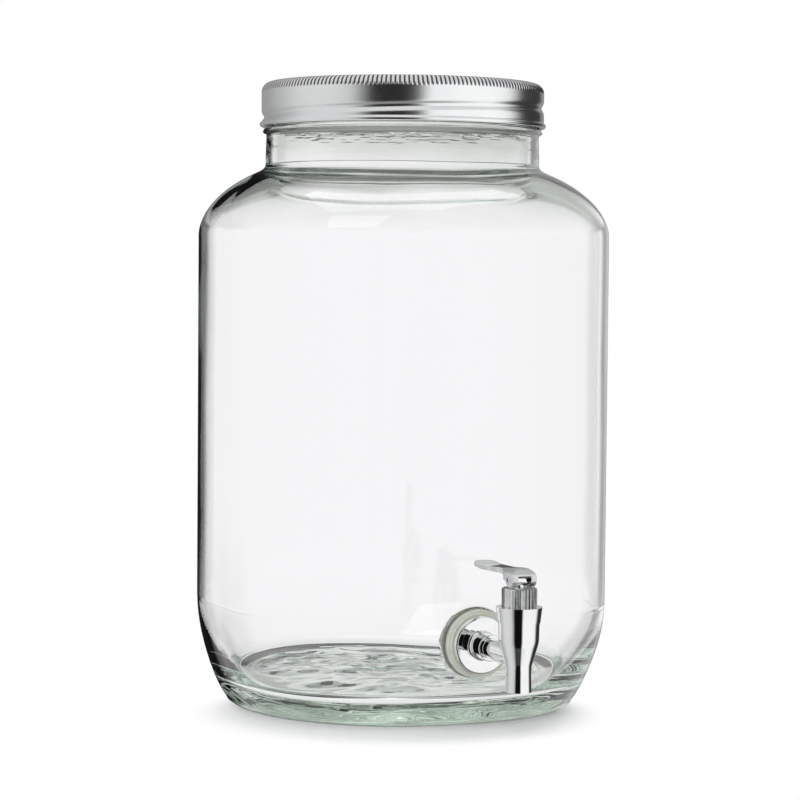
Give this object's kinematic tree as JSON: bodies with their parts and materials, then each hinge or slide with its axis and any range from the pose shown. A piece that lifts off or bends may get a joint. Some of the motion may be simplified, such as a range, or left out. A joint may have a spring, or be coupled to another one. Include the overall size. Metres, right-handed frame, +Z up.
{
  "type": "glass jar dispenser",
  "caption": "Rounded-square clear glass jar with a metal screw lid and a chromed lever tap near its base, for dispensing a liquid.",
  "frame": {"origin": "on the jar's axis, at the plane that it stands on", "axes": "+Z up along the jar's axis, -Y out through the tap, +X to the right of the tap"},
  "size_m": [0.197, 0.2558, 0.312],
  "materials": {
    "glass": "clear polished",
    "lid_metal": "satin",
    "chrome": "polished plating",
    "silicone": "matt translucent",
    "nut_plastic": "matt",
    "liner_plastic": "matt",
    "spring_steel": "bright drawn",
    "seal_rubber": "matt"
  },
  "bodies": {
    "jar": {"glass_jar": "glass", "spigot_body": "chrome", "outer_washer": "silicone", "inner_washer": "silicone", "lock_nut": "nut_plastic", "bonnet": "chrome", "return_spring": "spring_steel"},
    "liner": {"lid_liner": "liner_plastic"},
    "lid": {"lid_shell": "lid_metal"},
    "stem": {"valve_stem": "chrome", "valve_plug": "silicone", "stem_o_ring": "seal_rubber", "pivot_pin": "spring_steel"},
    "lever": {"lever": "chrome"}
  },
  "joints": [
    {"name": "lid_lift", "type": "slide", "parent": "jar", "child": "liner", "axis": [0, 0, 1], "range_m": [0, 0.02587]},
    {"name": "lid_turn", "type": "hinge", "parent": "liner", "child": "lid", "pos_m": [0, 0, 0.3], "axis": [0, 0, 1], "range_deg": [0, 810]},
    {"name": "stem_lift", "type": "slide", "parent": "jar", "child": "stem", "axis": [0, 0, 1], "range_m": [0, 0.00257], "deforming": ["return_spring"]},
    {"name": "lever_tilt", "type": "hinge", "parent": "stem", "child": "lever", "pos_m": [0, -0.1465, 0.07661], "axis": [1, 0, 0], "range_deg": [0, 80], "stiffness_Nm_per_rad": 0.012, "springref_deg": -120.32}
  ],
  "couplings": [
    {"joint": "lid_turn", "follows": "lid_lift", "rad_per_m": 546.36},
    {"joint": "lever_tilt", "follows": "stem_lift", "rad_per_m": 543.06}
  ]
}
